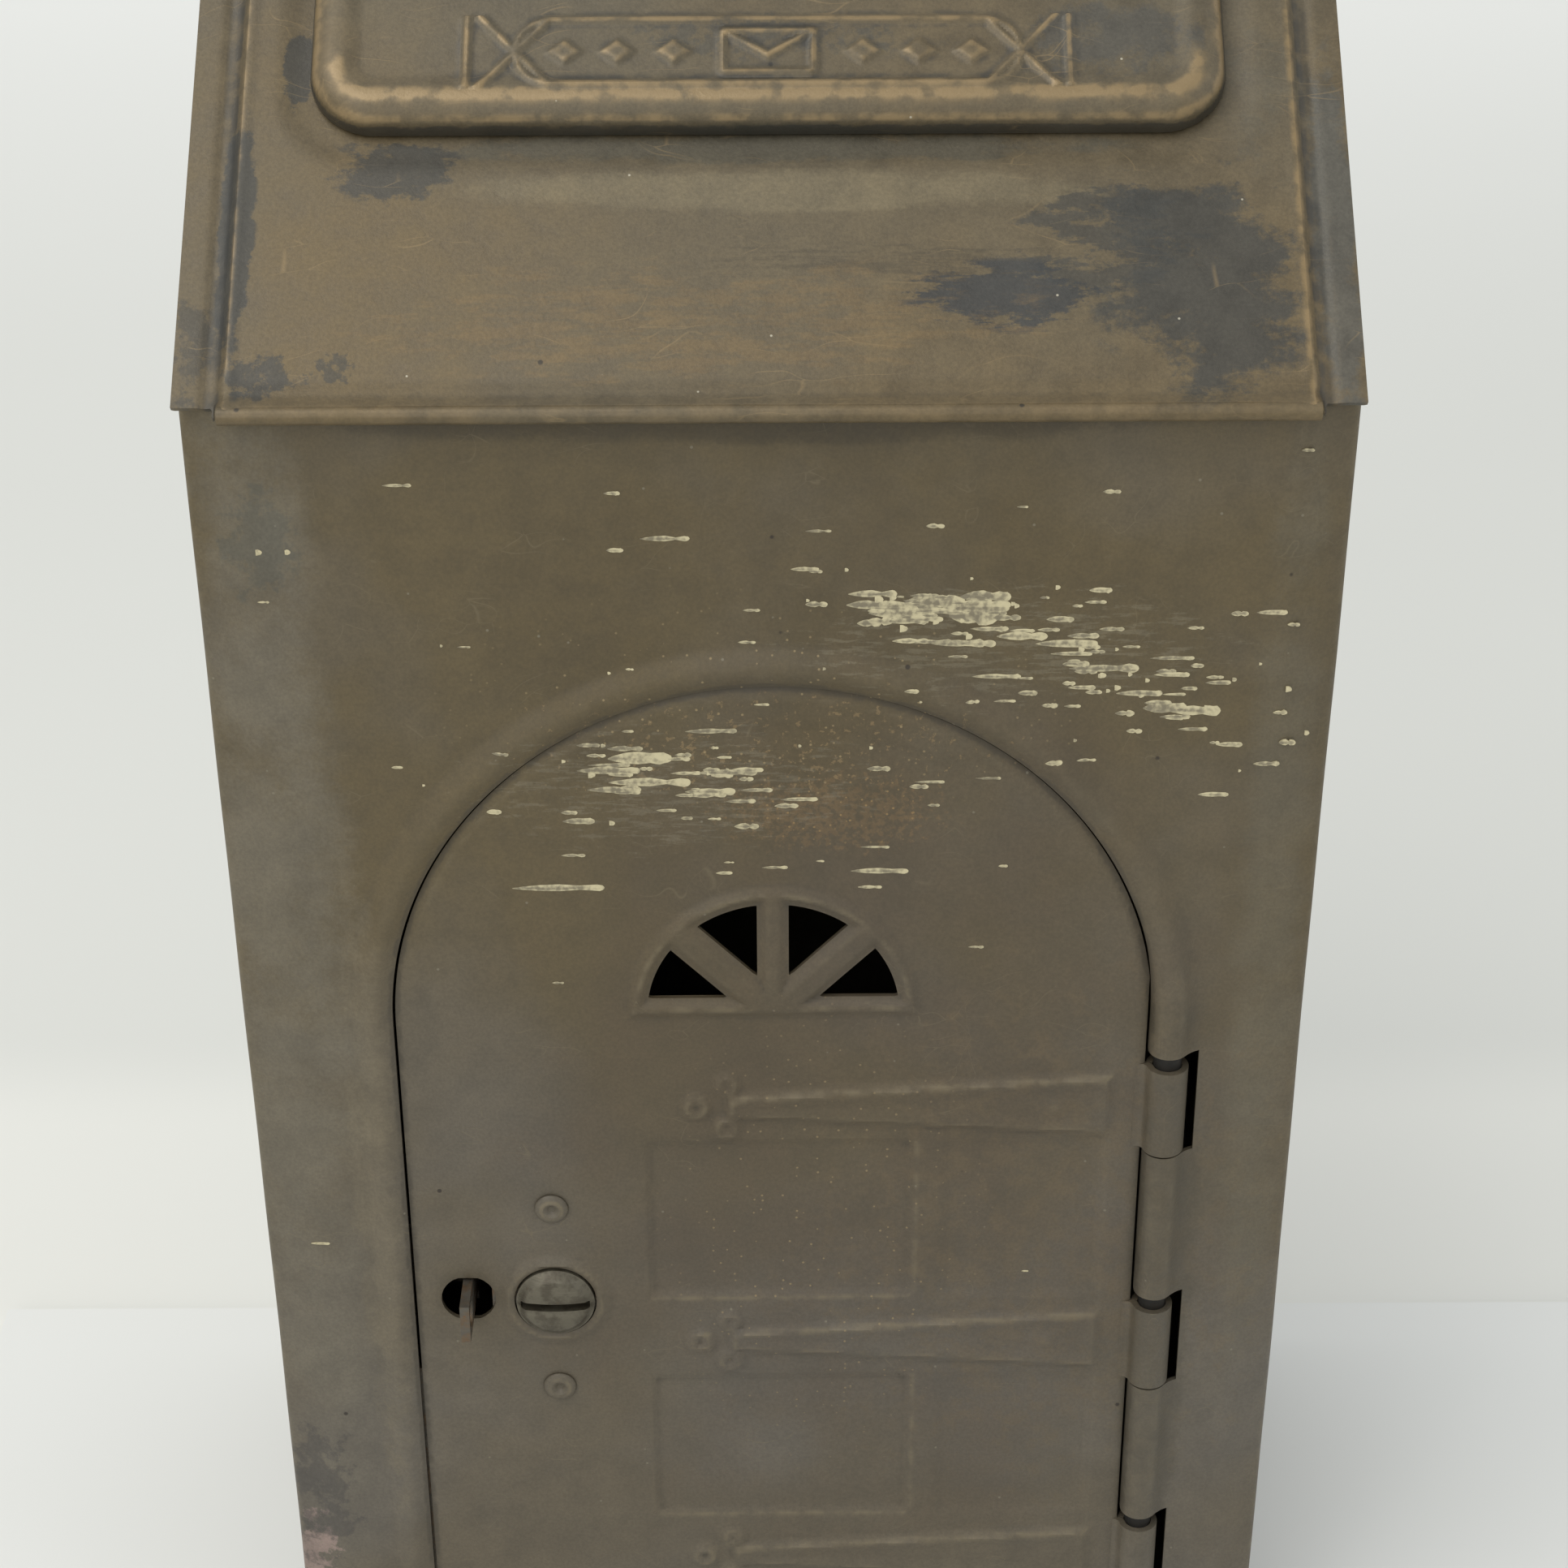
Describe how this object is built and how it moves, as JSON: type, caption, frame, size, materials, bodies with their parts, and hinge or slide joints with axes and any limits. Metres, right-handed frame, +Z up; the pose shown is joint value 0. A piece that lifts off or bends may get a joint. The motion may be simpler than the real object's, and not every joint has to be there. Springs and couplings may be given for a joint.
{
  "type": "wall mounted mailbox",
  "caption": "Wall mounted pressed steel mailbox with an arched barrel-hinged door, key lock, padlock staple and a sloped hood with a gravity letter flap.",
  "frame": {"origin": "centre of the four wall screw holes, on the rear face that meets the wall", "axes": "+Y into the wall, along the screws; +Z up; +X to the right as seen from the front"},
  "size_m": [0.165, 0.1045, 0.327],
  "materials": {
    "body_enamel": "aged satin bronze-brown enamel, scuffed and splashed",
    "hood_enamel": "aged satin bronze-brown enamel worn to slate grey",
    "bare_steel": "dull, lightly tarnished",
    "dark_steel": "dull dark steel",
    "lock_brass": "tarnished, worn on its face"
  },
  "bodies": {
    "box": {"front_shell": "body_enamel", "back_plate": "body_enamel", "bottom_pan": "body_enamel", "hood": "hood_enamel", "back_rivets": "bare_steel", "flap_hinge_leaf": "hood_enamel", "flap_hinge_pin": "bare_steel", "door_hinge_pin": "bare_steel", "door_stop": "dark_steel", "padlock_staple": "dark_steel"},
    "flap": {"letter_flap": "hood_enamel"},
    "door": {"door": "body_enamel", "lock_case": "bare_steel", "lock_cover": "bare_steel", "cover_screws": "lock_brass", "lock_rivets": "body_enamel", "spring_post": "bare_steel", "detent_spring": "bare_steel"},
    "plug": {"lock_plug": "lock_brass", "plug_driver": "lock_brass"},
    "bolt": {"lock_bolt": "bare_steel"}
  },
  "joints": [
    {"name": "door_hinge", "type": "hinge", "parent": "box", "child": "door", "pos_m": [0.0609, -0.098, -0.06], "axis": [0, 0, 1], "range_deg": [0, 160]},
    {"name": "flap_hinge", "type": "hinge", "parent": "box", "child": "flap", "pos_m": [0, -0.02058, 0.16314], "axis": [-1, 0, 0], "range_deg": [0, 100]},
    {"name": "plug_turn", "type": "hinge", "parent": "door", "child": "plug", "pos_m": [-0.0355, -0.09, -0.062], "axis": [0, -1, 0], "range_deg": [0, 90]},
    {"name": "bolt_slide", "type": "slide", "parent": "door", "child": "bolt", "axis": [-1, 0, 0], "range_m": [0, 0.007]}
  ],
  "couplings": [
    {"joint": "bolt_slide", "follows": "plug_turn", "m_per_rad": 0.004456}
  ]
}
